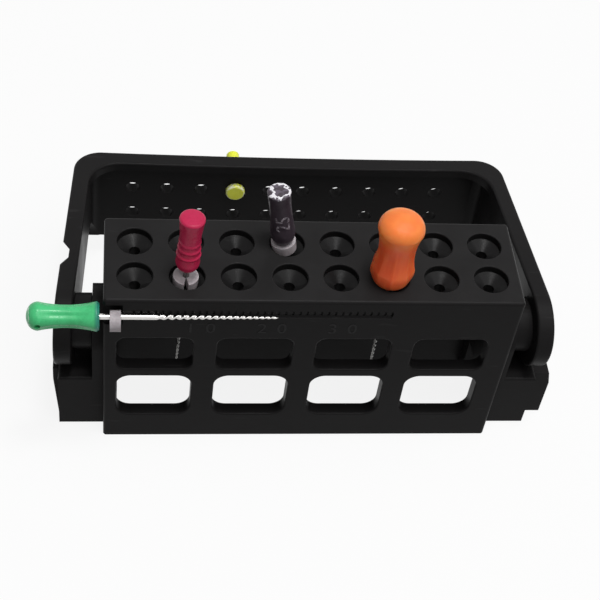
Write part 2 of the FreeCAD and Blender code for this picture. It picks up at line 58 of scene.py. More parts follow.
# Camera at the photograph's viewing angle
CAMERA_PLACE = Vector((-27.666, -127.589, 177.288)) * MM
CAMERA_TURN_DEG = (41.162, -5.9075, -4.4494)
CAMERA_LENS = 85.09
CAMERA_SENSOR = 36.0
CAMERA_CLIP_START = 10.0
CAMERA_CLIP_END = 20000.0

# Lamps: name, place, aim, size and watts; their lengths are in metres
LAMPS = (
    ("broad", (0.30, -0.25, 0.90), (0, 0.01, 0.02), 1.0, 6.6),
    ("overhead", (0.04, -0.02, 0.60), (0, 0.01, 0.03), 0.10, 1.35))

# Stage
FLOOR_SIZE = 6000.0
FLOOR_GREY = 0.35
FLOOR_SEEN_GREY = 0.8
FLOOR_WHITE_SHARE = 0.87
WORLD_LEVEL = 0.2

# Handles as in the frame
Handle = namedtuple("Handle", "length foot bulge bulge_z waist waist_z head head_round crown")
PINK = Handle(10.2, 0.95, 1.68, 2.0, 1.46, 5.4, 1.78, 0.4, 12.0)
VIOLET = Handle(10.0, 1.35, 1.78, 2.3, 1.58, 6.0, 1.68, 0.4, 12.0)
GREEN = Handle(9.9, 1.95, 2.05, 0.6, 1.6, 4.6, 2.0, 1.5, 2.6)
ORANGE = Handle(12.2, 2.55, 3.15, 2.7, 2.66, 5.9, 3.25, 1.9, 5.0)
SOCKET_RADIUS = 0.55
FOOT_ROUND = 0.18
FOOT_BEND = 0.3
SWELL_HEIGHT_SHARE = 0.42
HANDLE_SIDES = 120
FOOT_STEPS = 5
BULGE_STEPS = 14
WAIST_STEPS = 44
HEAD_STEPS = 12
CROWN_STEPS = 16

# Grip ridges round the pink handle
RIDGE_HEIGHTS = (3.2, 4.4, 5.6)
RIDGE_REACHES = (1.73, 1.64, 1.55)
RIDGE_HALF = 0.42
RIDGE_WAVE = 0.07
RIDGE_STEP = 0.07

# Shallow facets round the orange handle's lower body
FACETS = 9
FACET_DEPTH = 0.2
FACET_SOFTNESS = 0.8
FACET_FROM = 0.3
FACET_RISE = 1.0
FACET_TO = 8.0
FACET_FADE = 2.4

# Lengthwise grooves along the green handle's waist, and the hole for its cord
GROOVES = 5
GROOVE_DEPTH = 0.2
GROOVE_SHARPNESS = 3
GROOVE_MIDDLE = 4.8
GROOVE_HALF_REACH = 3.8
GROOVE_FULLNESS = 1.8
CORD_HOLE_RADIUS = 0.4
CORD_HOLE_FROM_TOP = 1.6
CORD_HOLE_SIDES = 32
CORD_CUTTER_LENGTH = 6.0

# Blades: shank, fluted part, tang and taper as in the frame
SHANK_RADIUS = 0.42
TIP_RADIUS = 0.16
FLUTE_LENGTH = 17.3
TANG_LENGTH = 6.0
TANG_SHOWN = 1.0
FLUTE_SIDES = 2
FLUTE_BEAD_START = 1.15
FLUTE_BEAD_END = 0.8
FLUTE_DEPTH = 0.52
FLUTE_SOFTNESS = 0.8
FLUTE_RUN_IN_SHARE = 0.125
POINT_LENGTH = 0.5
POINT_BLUNT_SHARE = 0.12
BLADE_SIDES = 32
SHANK_STEPS = 6
FLUTE_STEPS = 420

# Raised words
CAP_SHARE = 0.715
LETTER_SMOOTHNESS = 4

# Worn size number along the violet handle
SIZE_NUMBER = "25"
SIZE_NUMBER_HEIGHT = 2.1
SIZE_NUMBER_MIDDLE = 4.7
SIZE_NUMBER_TURN_DEG = 8.0
SIZE_NUMBER_PROUD = 0.03
SIZE_NUMBER_EDGE = 0.25
SIZE_NUMBER_SPLITS = 2

# Scale numbers on the rack's front
SCALE_NUMBERS = (10, 20, 30)
SCALE_ZERO_X = -26.0
NUMBER_HEIGHT = 2.1
NUMBER_LOW_Z = 24.2
NUMBER_PROUD = 0.05
NUMBER_SPACING = 1.9
FRONT_FACE_Y = -1.0

# Where the rack's cups and top face are, and the plug's head
CUP_LOW_Z = 28.6
CUP_HIGH_Z = 30.93
TOP_HIGH_Z = 31.2
CUP_FRONT_Y = -0.4
CUP_BACK_Y = 14.2
PLUG_HEAD_RADIUS = 1.55

# Black plastic
BLACK_SPECULAR = 0.05
CUP_SPECULAR = 0.065
BLACK_DEEP = (0.0088, 0.0083, 0.0085)
BLACK_PALE = (0.0126, 0.0120, 0.0122)
BLACK_SCUFFED = (0.035, 0.034, 0.034)
BLACK_DUSTY = (0.05, 0.047, 0.046)
# Painted light: a paler black for the top plate, standing in for the light it gets from above
BLACK_TOP_PAINTED_LIGHT = (0.0205, 0.0200, 0.0203)
BLACK_IN_CUPS = (0.0105, 0.0102, 0.0104)
NUMBER_DEEP = (0.011, 0.0107, 0.011)
NUMBER_RUBBED = (0.021, 0.0205, 0.021)

# Colours of the handles and the plug
PINK_DEEP = (0.44, 0.016, 0.062)
PINK_PALE = (0.50, 0.024, 0.084)
ORANGE_DEEP = (0.88, 0.21, 0.045)
ORANGE_PALE = (0.96, 0.27, 0.062)
ORANGE_LOW_DEEP = (0.90, 0.125, 0.036)
ORANGE_LOW_PALE = (0.97, 0.17, 0.05)
GREEN_DEEP = (0.045, 0.42, 0.15)
GREEN_PALE = (0.07, 0.55, 0.21)
GREEN_RIM = (0.008, 0.11, 0.13)
GREEN_WORN = (0.55, 0.80, 0.62)
VIOLET_DEEP = (0.032, 0.023, 0.031)
VIOLET_PALE = (0.050, 0.038, 0.048)
VIOLET_END = (0.26, 0.22, 0.29)
VIOLET_CHALK = (0.82, 0.80, 0.84)
PAINT_GONE = (0.06, 0.048, 0.06)
PAINT_LEFT = (0.30, 0.27, 0.30)
PLUG_DEEP = (0.78, 0.82, 0.04)
PLUG_PALE = (0.90, 0.94, 0.08)
PLUG_WORN = (0.80, 0.82, 0.55)

# Silicone and steel
SILICONE_DEEP = (0.31, 0.28, 0.295)
SILICONE_PALE = (0.46, 0.42, 0.44)
SILICONE_DUSTY = (0.66, 0.62, 0.62)
STEEL_DEEP = (0.60, 0.585, 0.57)
STEEL_PALE = (0.74, 0.725, 0.70)
BRIGHT_STEEL_LEVEL = 0.95
# Painted shade: a darker copy of the steel for the standing blades, standing in for the shade they stand
# in
SHADED_STEEL_LEVEL = 0.3

# Light spread below the surface: its share, and its reach for red, green and blue
ORANGE_GLOW = 0.75
ORANGE_GLOW_REACH = (3.2, 1.2, 0.6)
SILICONE_GLOW = 0.25
SILICONE_GLOW_REACH = (0.8, 0.6, 0.6)


# Nodes of a material

class Paint:
    """One material, with short calls for joining its nodes."""

    def __init__(self, name, specular):
        self.material = bpy.data.materials.new(name)
        self.material.use_nodes = True
        self.tree = self.material.node_tree
        self.sockets = self.tree.nodes["Principled BSDF"].inputs
        self.sockets["Specular IOR Level"].default_value = specular
        self.place = self.add("ShaderNodeTexCoord").outputs["Object"]

    def add(self, kind, **settings):
        node = self.tree.nodes.new(kind)
        for name, value in settings.items():
            setattr(node, name, value)
        return node

    def put(self, socket, value):
        """Joins a socket to another one, or sets it to a plain value or colour."""
        if isinstance(value, bpy.types.NodeSocket):
            self.tree.links.new(value, socket)
        elif isinstance(value, tuple) and socket.type == "RGBA":
            socket.default_value = (*value, 1)
        else:
            socket.default_value = value

    def stretched(self, scale):
        """Object coordinates scaled along each axis."""
        node = self.add("ShaderNodeMapping")
        self.put(node.inputs["Vector"], self.place)
        self.put(node.inputs["Scale"], scale)
        return node.outputs["Vector"]

    def noise(self, per_mm, detail=3.0, roughness=0.55, vector=None):
        """Noise whose features are about one over per_mm millimetres across."""
        node = self.add("ShaderNodeTexNoise")
        self.put(node.inputs["Vector"], vector or self.place)
        self.put(node.inputs["Scale"], per_mm / MM)
        self.put(node.inputs["Detail"], detail)
        self.put(node.inputs["Roughness"], roughness)
        return node.outputs["Fac"]

    def cells(self, per_mm):
        """Distance from the middles of cells about one over per_mm millimetres across."""
        node = self.add("ShaderNodeTexVoronoi", feature="F1")
        self.put(node.inputs["Vector"], self.place)
        self.put(node.inputs["Scale"], per_mm / MM)
        return node.outputs["Distance"]

    def math(self, operation, first, second=0.0):
        node = self.add("ShaderNodeMath", operation=operation)
        self.put(node.inputs[0], first)
        self.put(node.inputs[1], second)
        return node.outputs[0]

    def times(self, first, second):
        return self.math("MULTIPLY", first, second)

    def span(self, value, low, high, out_low=0.0, out_high=1.0, smooth=True):
        """A value taken from one range to another."""
        node = self.add("ShaderNodeMapRange", interpolation_type="SMOOTHSTEP" if smooth else "LINEAR")
        self.put(node.inputs["Value"], value)
        self.put(node.inputs["From Min"], low)
        self.put(node.inputs["From Max"], high)
        self.put(node.inputs["To Min"], out_low)
        self.put(node.inputs["To Max"], out_high)
        return node.outputs["Result"]

    def mix(self, share, first, second):
        node = self.add("ShaderNodeMix", data_type="RGBA")
        self.put(node.inputs["Factor"], share)
        self.put(node.inputs["A"], first)
        self.put(node.inputs["B"], second)
        return node.outputs["Result"]

    def coordinate(self, axis):
        node = self.add("ShaderNodeSeparateXYZ")
        self.put(node.inputs["Vector"], self.place)
        return node.outputs[axis]

    def between(self, axis, low, high):
        """One where a coordinate lies between two places, otherwise nought."""
        value = self.coordinate(axis)
        return self.times(self.math("GREATER_THAN", value, low * MM),
                          self.math("LESS_THAN", value, high * MM))

    def from_axis(self, centre=(0, 0, 0), across=(1, 1, 0)):
        """Distance from a line through a centre, the object's own Z axis unless told otherwise."""
        moved = self.add("ShaderNodeVectorMath", operation="SUBTRACT")
        self.put(moved.inputs[0], self.place)
        self.put(moved.inputs[1], centre)
        flat = self.add("ShaderNodeVectorMath", operation="MULTIPLY")
        self.put(flat.inputs[0], moved.outputs["Vector"])
        self.put(flat.inputs[1], across)
        length = self.add("ShaderNodeVectorMath", operation="LENGTH")
        self.put(length.inputs[0], flat.outputs["Vector"])
        return length.outputs["Value"]

    def worn_ring(self, radius, unevenness, wander, inner, outer):
        """One on a wandering ring round the object's Z axis, fading to nought beside it."""
        shift = self.span(unevenness, 0.3, 0.7, -wander * MM, wander * MM, smooth=False)
        away = self.math("SUBTRACT", self.math("ADD", self.from_axis(), shift), radius * MM)
        return self.span(self.math("ABSOLUTE", away), inner * MM, outer * MM, 1.0, 0.0)

    def colour(self, value):
        self.put(self.sockets["Base Color"], value)

    def roughness(self, value):
        self.put(self.sockets["Roughness"], value)

    def glow(self, share, reach):
        """Lets light spread below the surface."""
        self.put(self.sockets["Subsurface Weight"], share)
        self.put(self.sockets["Subsurface Radius"], [part * MM for part in reach])
        self.put(self.sockets["Subsurface Scale"], 1.0)

    def bump(self, *layers):
        """Bumps stacked on each other; each layer is a height and its depth."""
        normal = None
        for height, depth in layers:
            node = self.add("ShaderNodeBump")
            self.put(node.inputs["Strength"], 1.0)
            self.put(node.inputs["Distance"], depth * MM)
            self.put(node.inputs["Height"], height)
            if normal:
                self.put(node.inputs["Normal"], normal)
            normal = node.outputs["Normal"]
        self.put(self.sockets["Normal"], normal)


# Materials

def black_plastic():
    """Moulded black plastic: fine spark-eroded grain, faint flow clouds, dust and hairline scuffs.

    The cups are smoother than the faces round them, and the top plate is painted paler in patches as
    painted light, standing in for the light it gets from above.
    """
    paint = Paint("black_plastic", BLACK_SPECULAR)
    clouds = paint.noise(0.12, 4.0)
    scuffs = paint.span(paint.noise(0.9, 2.0, vector=paint.stretched((0.18, 1.0, 1.0))), 0.66, 0.74)
    dust = paint.span(paint.noise(2.6, 5.0, 0.7), 0.62, 0.8)
    cups = paint.times(paint.between("Z", CUP_LOW_Z, CUP_HIGH_Z),
                       paint.between("Y", CUP_FRONT_Y, CUP_BACK_Y))
    # Painted light: the top plate is painted paler in patches, standing in for the light it gets from
    # above
    top_painted_light = paint.times(paint.between("Z", CUP_HIGH_Z, TOP_HIGH_Z),
                          paint.span(paint.noise(0.25, 3.0), 0.25, 0.75, 0.45, 0.75))
    base = paint.mix(clouds, BLACK_DEEP, BLACK_PALE)
    base = paint.mix(paint.times(scuffs, 0.35), base, BLACK_SCUFFED)
    base = paint.mix(paint.times(dust, 0.3), base, BLACK_DUSTY)
    base = paint.mix(top_painted_light, base, BLACK_TOP_PAINTED_LIGHT)
    paint.colour(paint.mix(cups, base, BLACK_IN_CUPS))
    rough = paint.math("ADD", paint.span(clouds, 0.3, 0.7, 0.34, 0.46), paint.times(scuffs, 0.1))
    paint.roughness(paint.math("SUBTRACT", rough, paint.times(cups, 0.16)))
    paint.put(paint.sockets["Specular IOR Level"],
              paint.span(cups, 0.0, 1.0, BLACK_SPECULAR, CUP_SPECULAR, smooth=False))
    paint.bump((paint.noise(7.0, 3.0, 0.6), 0.007), (paint.noise(0.5, 2.0), 0.02))
    return paint.material


def number_plastic():
    """The raised numbers: the same plastic, rubbed paler."""
    paint = Paint("black_plastic_rubbed", 0.1)
    worn = paint.span(paint.noise(2.2, 4.0, 0.7), 0.42, 0.62)
    paint.colour(paint.mix(worn, NUMBER_DEEP, NUMBER_RUBBED))
    paint.roughness(paint.span(worn, 0.0, 1.0, 0.45, 0.62))
    paint.bump((paint.noise(6.0), 0.008))
    return paint.material


def worn_paint():
    """Pale paint of the size number, rubbed away in places."""
    paint = Paint("worn_paint", 0.3)
    left = paint.span(paint.noise(2.4, 4.0, 0.7), 0.4, 0.62)
    paint.colour(paint.mix(left, PAINT_GONE, PAINT_LEFT))
    paint.roughness(paint.span(left, 0.0, 1.0, 0.4, 0.65))
    paint.bump((paint.noise(5.0), 0.008))
    return paint.material


def handle_plastic(name, deep, pale, roughness, specular):
    """Coloured plastic with faint flow clouds, specks and handling marks, and its clouded colour."""
    paint = Paint(name, specular)
    clouds = paint.noise(0.35, 4.0)
    specks = paint.span(paint.cells(3.4), 0.02, 0.1, 1.0, 0.0)
    base = paint.mix(paint.span(clouds, 0.3, 0.7), deep, pale)
    speck_colour = tuple(min(1.0, 0.75 * part + 0.22) for part in pale)
    paint.colour(paint.mix(paint.times(specks, 0.16), base, speck_colour))
    marks = paint.noise(1.3, 4.0, 0.65)
    paint.roughness(paint.span(marks, 0.35, 0.7, roughness * 0.8, roughness * 1.35))
    paint.bump((paint.noise(3.2, 4.0, 0.6), 0.012), (paint.noise(0.8, 2.0), 0.03))
    return paint, base


def pink_plastic():
    paint, _ = handle_plastic("pink_plastic", PINK_DEEP, PINK_PALE, 0.3, 0.15)
    return paint.material


def orange_plastic():
    """Satin orange, faintly clear, with a redder, mottled body below the head."""
    paint, base = handle_plastic("orange_plastic", ORANGE_DEEP, ORANGE_PALE, 0.4, 0.25)
    high = paint.span(paint.coordinate("Z"), 7.4 * MM, 9.8 * MM)
    streaks = paint.span(paint.noise(1.0, 3.0, vector=paint.stretched((1.0, 1.0, 0.12))), 0.35, 0.7)
    low = paint.mix(streaks, ORANGE_LOW_DEEP, ORANGE_LOW_PALE)
    paint.colour(paint.mix(high, low, base))
    paint.glow(ORANGE_GLOW, ORANGE_GLOW_REACH)
    return paint.material


def green_plastic():
    """Glossy green, with a bluish rim at the foot and a pale worn ring on the end."""
    paint, base = handle_plastic("green_plastic", GREEN_DEEP, GREEN_PALE, 0.28, 0.3)
    along = paint.coordinate("Z")
    rim = paint.span(along, 0.25 * MM, 0.9 * MM, 1.0, 0.0)
    base = paint.mix(paint.times(rim, 0.75), base, GREEN_RIM)
    ring = paint.worn_ring(1.3, paint.noise(1.1), 0.25, 0.08, 0.2)
    ring = paint.times(ring, paint.span(along, (GREEN.length - 1.0) * MM, (GREEN.length - 0.7) * MM))
    paint.colour(paint.mix(paint.times(ring, 0.85), base, GREEN_WORN))
    return paint.material


def violet_plastic():
    """Dark violet-grey with chalky worn paint round its end."""
    paint, base = handle_plastic("violet_plastic", VIOLET_DEEP, VIOLET_PALE, 0.36, 0.35)
    end = paint.span(paint.coordinate("Z"), (VIOLET.length - 0.55) * MM, (VIOLET.length - 0.4) * MM)
    ring = paint.times(paint.worn_ring(1.2, paint.noise(0.75, 2.0), 0.75, 0.16, 0.26), end)
    inner = paint.times(end, paint.span(paint.noise(1.6), 0.45, 0.6, 0.0, 0.3))
    paint.colour(paint.mix(ring, paint.mix(inner, base, VIOLET_END), VIOLET_CHALK))
    return paint.material


def plug_plastic():
    """Yellow-green plug, its head's edge rubbed pale."""
    paint, base = handle_plastic("yellow_green_plastic", PLUG_DEEP, PLUG_PALE, 0.45, 0.5)
    points = node_points("marker_plug")
    centre = tuple((min(places) + max(places)) / 2 for places in zip(*points))
    away = paint.from_axis(centre, (1, 0, 1))
    edge = paint.span(away, (PLUG_HEAD_RADIUS - 0.32) * MM, (PLUG_HEAD_RADIUS - 0.14) * MM)
    worn = paint.span(paint.noise(1.4), 0.35, 0.55)
    paint.colour(paint.mix(paint.times(edge, worn), base, PLUG_WORN))
    return paint.material


def silicone():
    """Pale grey silicone, faintly translucent, with clinging dust."""
    paint = Paint("grey_silicone", 0.4)
    clouds = paint.noise(0.8, 4.0)
    dust = paint.span(paint.noise(4.0, 5.0, 0.7), 0.55, 0.75)
    base = paint.mix(paint.span(clouds, 0.3, 0.7), SILICONE_DEEP, SILICONE_PALE)
    paint.colour(paint.mix(paint.times(dust, 0.4), base, SILICONE_DUSTY))
    paint.roughness(paint.span(clouds, 0.3, 0.7, 0.48, 0.66))
    paint.glow(SILICONE_GLOW, SILICONE_GLOW_REACH)
    paint.bump((paint.noise(3.0, 4.0), 0.02))
    return paint.material


def steel(name, level):
    """Ground steel with fine turning lines across the wire; a lower level paints it darker, as painted
    shade.
    """
    paint = Paint(name, 0.5)
    paint.put(paint.sockets["Metallic"], 1.0)
    lines = paint.noise(1.5, 2.0, vector=paint.stretched((1.0, 1.0, 0.2)))
    deep = tuple(part * level for part in STEEL_DEEP)
    pale = tuple(part * level for part in STEEL_PALE)
    paint.colour(paint.mix(paint.noise(0.7), deep, pale))
    paint.roughness(paint.span(lines, 0.3, 0.7, 0.2, 0.32))
    paint.bump((lines, 0.002))
    return paint.material


# Places in the frame

def node_points(node):
    return [vertex.co for vertex in frame["nodes"][node].data.vertices]


def axis_of(node):
    """Unit direction of a long turned node, pointing from its thin end upwards or to the left."""
    points = np.array(node_points(node))
    centre = points.mean(0)
    direction = Vector(np.linalg.svd(points - centre, full_matrices=False)[2][0])
    return direction if direction.z - direction.x > 0 else -direction


def file_place(colour):
    """Matrix from a file's own frame, foot at the origin and head up, and its blade's length."""
    direction = axis_of(colour + "_blade")
    points = node_points(colour + "_blade")
    reaches = [point.dot(direction) for point in points]
    middle = sum(points, Vector()) / len(points)
    foot = middle + direction * (max(reaches) - TANG_LENGTH * MM - middle.dot(direction))
    across = Vector((0, 1, 0)).cross(direction).normalized()
    back = direction.cross(across)
    turn = Matrix((across, back, direction)).transposed().to_4x4()
    return Matrix.Translation(foot) @ turn, (max(reaches) - min(reaches)) / MM - TANG_LENGTH


# Outlines of the handles

def arc_points(start, middle, end, count):
    """Points along the circle through three (radius, height) points, without the first."""
    (ax, ay), (bx, by), (cx, cy) = start, middle, end
    twice = 2 * (ax * (by - cy) + bx * (cy - ay) + cx * (ay - by))
    squares = [x * x + y * y for x, y in (start, middle, end)]
    ox = (squares[0] * (by - cy) + squares[1] * (cy - ay) + squares[2] * (ay - by)) / twice
    oy = (squares[0] * (cx - bx) + squares[1] * (ax - cx) + squares[2] * (bx - ax)) / twice
    radius = math.hypot(ax - ox, ay - oy)
    turns = [math.atan2(y - oy, x - ox) for x, y in (start, middle, end)]
    for after in (1, 2):
        while turns[after] - turns[after - 1] > math.pi:
            turns[after] -= 2 * math.pi
        while turns[after] - turns[after - 1] < -math.pi:
            turns[after] += 2 * math.pi
    points = []
    for step in range(1, count + 1):
        turn = turns[0] + (turns[2] - turns[0]) * step / count
        points.append((ox + radius * math.cos(turn), oy + radius * math.sin(turn)))
    return points


def handle_profile(size):
    """Outline of a handle from the middle of its foot to the top of its crown."""
    to_round = size.head - size.head_round
    turn = math.acos(to_round / (size.crown - size.head_round))
    crown_z = size.length - size.crown
    head_z = crown_z + (size.crown - size.head_round) * math.sin(turn)
    foot_bend = (size.foot - FOOT_BEND * FOOT_ROUND, FOOT_BEND * FOOT_ROUND)
    swell = ((size.foot + 3 * size.bulge) / 4, size.bulge_z * SWELL_HEIGHT_SHARE)
    bulge = (size.bulge, size.bulge_z)
    points = [(0.0, 0.0), (SOCKET_RADIUS, 0.0), (size.foot - FOOT_ROUND, 0.0)]
    points += arc_points(points[-1], foot_bend, (size.foot, FOOT_ROUND), FOOT_STEPS)
    points += arc_points(points[-1], swell, bulge, BULGE_STEPS)
    points += arc_points(bulge, (size.waist, size.waist_z), (size.head, head_z), WAIST_STEPS)
    for step in range(1, HEAD_STEPS + 1):
        angle = turn * step / HEAD_STEPS
        points.append((to_round + size.head_round * math.cos(angle),
                       head_z + size.head_round * math.sin(angle)))
    for step in range(1, CROWN_STEPS + 1):
        angle = turn + (math.pi / 2 - turn) * step / CROWN_STEPS
        points.append((size.crown * math.cos(angle), crown_z + size.crown * math.sin(angle)))
    return points


def denser(profile):
    """The profile with each long step divided, so that ridges keep their shape."""
    points = [profile[0]]
    for start, end in zip(profile, profile[1:]):
        parts = max(1, math.ceil(math.dist(start, end) / RIDGE_STEP))
        for step in range(1, parts + 1):
            share = step / parts
            points.append((start[0] + (end[0] - start[0]) * share, start[1] + (end[1] - start[1]) * share))
    return points


def radius_at(profile, height):
    """Radius of a handle's side at a height."""
    for start, end in zip(profile, profile[1:]):
        if start[1] <= height <= end[1] and end[1] > start[1]:
            return start[0] + (end[0] - start[0]) * (height - start[1]) / (end[1] - start[1])
    return profile[-1][0]


# Radius of a handle's skin at an angle and a height, from its plain radius there

def plain(angle, height, radius):
    return radius


def ridged(angle, height, radius):
    """Three grip ridges that stand proud of the pink handle, a little uneven."""
    for middle, reach in zip(RIDGE_HEIGHTS, RIDGE_REACHES):
        away = abs(height - middle - RIDGE_WAVE * math.sin(angle + middle)) / RIDGE_HALF
        if away < 1:
            radius += max(0.0, reach - radius) * (0.5 + 0.5 * math.cos(math.pi * away))
    return radius


def faceted(angle, height, radius):
    """Shallow flutes with soft edges round the orange handle's lower body."""
    low = min(1.0, max(0.0, height - FACET_FROM) / FACET_RISE)
    high = min(1.0, max(0.0, FACET_TO - height) / FACET_FADE)
    return radius - FACET_DEPTH * min(low, high) * abs(math.cos(FACETS / 2 * angle)) ** FACET_SOFTNESS


def grooved(angle, height, radius):
    """Lengthwise grooves along the green handle's waist."""
    share = max(0.0, 1.0 - abs(height - GROOVE_MIDDLE) / GROOVE_HALF_REACH)
    across = (0.5 - 0.5 * math.cos(GROOVES * angle)) ** GROOVE_SHARPNESS
    return radius - GROOVE_DEPTH * min(1.0, GROOVE_FULLNESS * share) * across


# Meshes

def mesh_object(name, maker, place, body, paint):
    """A piece from a bmesh, placed, riding on a body and painted."""
    mesh = bpy.data.meshes.new(name)
    bmesh.ops.recalc_face_normals(maker, faces=maker.faces)
    maker.to_mesh(mesh)
    maker.free()
    for face in mesh.polygons:
        face.use_smooth = True
    piece = bpy.data.objects.new(name, mesh)
    bpy.context.scene.collection.objects.link(piece)
    piece.matrix_world = place
    mesh.materials.append(paint)
    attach(piece, body)
    return piece


def evaluated_mesh(thing):
    """A plain mesh of an object's shape with its modifiers or letters worked out."""
    ready = thing.evaluated_get(bpy.context.evaluated_depsgraph_get())
    return bpy.data.meshes.new_from_object(ready)


def ring_of(maker, height, around, reach_at):
    """Vertices round the Z axis at a height; reach_at gives their radius at each step."""
    ring = []
    for step in range(around):
        angle = 2 * math.pi * step / around
        reach = reach_at(step, angle) * MM
        ring.append(maker.verts.new((reach * math.cos(angle), reach * math.sin(angle), height * MM)))
    return ring


def skin(maker, rings):
    """Faces between each ring and the next; a ring of one vertex closes the end."""
    for low, high in zip(rings, rings[1:]):
        around = max(len(low), len(high))
        for step in range(around):
            after = (step + 1) % around
            if len(low) == 1:
                maker.faces.new((low[0], high[after], high[step]))
            elif len(high) == 1:
                maker.faces.new((low[step], low[after], high[0]))
            else:
                maker.faces.new((low[step], low[after], high[after], high[step]))


def turned_handle(colour, size, ripple, place, paint):
    """A handle turned from its profile, its skin rippled, in place of the frame's handle."""
    profile = handle_profile(size)
    if ripple is ridged:
        profile = denser(profile)
    maker = bmesh.new()
    rings = []
    for radius, height in profile:
        if radius < NEAR:
            rings.append([maker.verts.new((0, 0, height * MM))])
        else:
            rings.append(ring_of(maker, height, HANDLE_SIDES,
                                 lambda step, angle: ripple(angle, height, radius)))
    skin(maker, rings)
    piece = mesh_object(colour + "_grip", maker, place, "rack", paint)
    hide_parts(colour + "_handle")
    return piece


def cut_cord_hole(piece, place):
    """Cross hole near the end of the green handle."""
    maker = bmesh.new()
    bmesh.ops.create_cone(maker, cap_ends=True, segments=CORD_HOLE_SIDES, depth=CORD_CUTTER_LENGTH * MM,
                          radius1=CORD_HOLE_RADIUS * MM, radius2=CORD_HOLE_RADIUS * MM)
    mesh = bpy.data.meshes.new("cord_hole")
    maker.to_mesh(mesh)
    maker.free()
    cutter = bpy.data.objects.new("cord_hole", mesh)
    bpy.context.scene.collection.objects.link(cutter)
    middle = Matrix.Translation((0, 0, (GREEN.length - CORD_HOLE_FROM_TOP) * MM))
    cutter.matrix_world = place @ middle @ Matrix.Rotation(math.pi / 2, 4, "X")
    bpy.context.view_layer.update()
    carve = piece.modifiers.new("carve", "BOOLEAN")
    carve.operation = "DIFFERENCE"
    carve.solver = "EXACT"
    carve.object = cutter
    mesh = evaluated_mesh(piece)
    piece.modifiers.clear()
    piece.data = mesh
    bpy.data.objects.remove(cutter)


def flute_share(phase):
    """Depth of the twisted hollow sides: nothing on their edges, all in their middles."""
    return (0.5 - 0.5 * math.cos(2 * math.pi * phase)) ** FLUTE_SOFTNESS


def fluted_blade(colour, place, length, paint):
    """Round shank with a tapered working part, twisted from a wire with hollow sides."""
    shank_end = FLUTE_LENGTH - length
    heights = [TANG_SHOWN, 0.0]
    heights += [shank_end * step / SHANK_STEPS for step in range(1, SHANK_STEPS + 1)]
    heights += [shank_end - FLUTE_LENGTH * step / FLUTE_STEPS for step in range(1, FLUTE_STEPS + 1)]
    maker = bmesh.new()
    rings = []
    turns = 0.0
    last = shank_end
    for height in heights:
        along = max(0.0, (shank_end - height) / FLUTE_LENGTH)
        to_tip = min(1.0, max(0.0, height + length) / POINT_LENGTH)
        outer = SHANK_RADIUS + (TIP_RADIUS - SHANK_RADIUS) * along
        outer *= min(1.0, POINT_BLUNT_SHARE + (1 - POINT_BLUNT_SHARE) * math.sqrt(to_tip))
        deep = FLUTE_DEPTH * min(1.0, along / FLUTE_RUN_IN_SHARE)
        if height < last:
            bead = FLUTE_BEAD_START + (FLUTE_BEAD_END - FLUTE_BEAD_START) * along
            turns += (last - height) / (bead * FLUTE_SIDES)
            last = height
        rings.append(ring_of(maker, height, BLADE_SIDES, lambda step, angle: outer * (
            1 - deep * flute_share(FLUTE_SIDES * (turns - step / BLADE_SIDES)))))
    skin(maker, rings)
    maker.faces.new(rings[0])
    maker.faces.new(rings[-1])
    piece = mesh_object(colour + "_fluted_blade", maker, place, "rack", paint)
    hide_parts(colour + "_blade")
    return piece


def letters(name, words, height, thickness, spacing):
    """Flat raised words as a mesh in the XY plane, in the middle of the origin."""
    curve = bpy.data.curves.new(name, "FONT")
    curve.body = words
    curve.size = height / CAP_SHARE * MM
    curve.extrude = thickness * MM
    curve.align_x = "CENTER"
    curve.align_y = "CENTER"
    curve.resolution_u = LETTER_SMOOTHNESS
    curve.space_character = spacing
    writer = bpy.data.objects.new(name, curve)
    bpy.context.scene.collection.objects.link(writer)
    bpy.context.view_layer.update()
    mesh = evaluated_mesh(writer)
    bpy.data.objects.remove(writer)
    return mesh


def scale_numbers(paint):
    """Raised numbers below the groove, one at each ten millimetres of the scale."""
    upright = Matrix.Rotation(math.pi / 2, 4, "X")
    middle_z = NUMBER_LOW_Z + NUMBER_HEIGHT / 2
    for number in SCALE_NUMBERS:
        name = "scale_number_" + str(number)
        mesh = letters(name, str(number), NUMBER_HEIGHT, NUMBER_PROUD, NUMBER_SPACING)
        piece = bpy.data.objects.new(name, mesh)
        bpy.context.scene.collection.objects.link(piece)
        place = Vector((SCALE_ZERO_X + number, FRONT_FACE_Y, middle_z)) * MM
        piece.matrix_world = Matrix.Translation(place) @ upright
        piece.data.materials.append(paint)
        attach(piece, "rack")


def size_number(place, paint):
    """Worn size number that reads up the violet handle and follows its round side."""
    maker = bmesh.new()
    maker.from_mesh(letters("size_number", SIZE_NUMBER, SIZE_NUMBER_HEIGHT, SIZE_NUMBER_PROUD, 1.0))
    for _ in range(SIZE_NUMBER_SPLITS):
        long_edges = [edge for edge in maker.edges if edge.calc_length() > SIZE_NUMBER_EDGE * MM]
        bmesh.ops.subdivide_edges(maker, edges=long_edges, cuts=1)
    bmesh.ops.triangulate(maker, faces=maker.faces)
    profile = handle_profile(VIOLET)
    facing = -math.pi / 2 + math.radians(SIZE_NUMBER_TURN_DEG)
    for vertex in maker.verts:
        along, up, proud = (part / MM for part in vertex.co)
        height = SIZE_NUMBER_MIDDLE + along
        radius = radius_at(profile, height)
        angle = facing - up / radius
        reach = (radius + proud) * MM
        vertex.co = (reach * math.cos(angle), reach * math.sin(angle), height * MM)
    piece = mesh_object("violet_size_number", maker, place, "rack", paint)
    for face in piece.data.polygons:
        face.use_smooth = False


# Building

def paint_frame_nodes(paints):
    """Materials for the frame's own nodes that stay shown."""
    for node, paint in paints.items():
        mesh = frame["nodes"][node].data
        mesh.materials.clear()
        mesh.materials.append(paint)


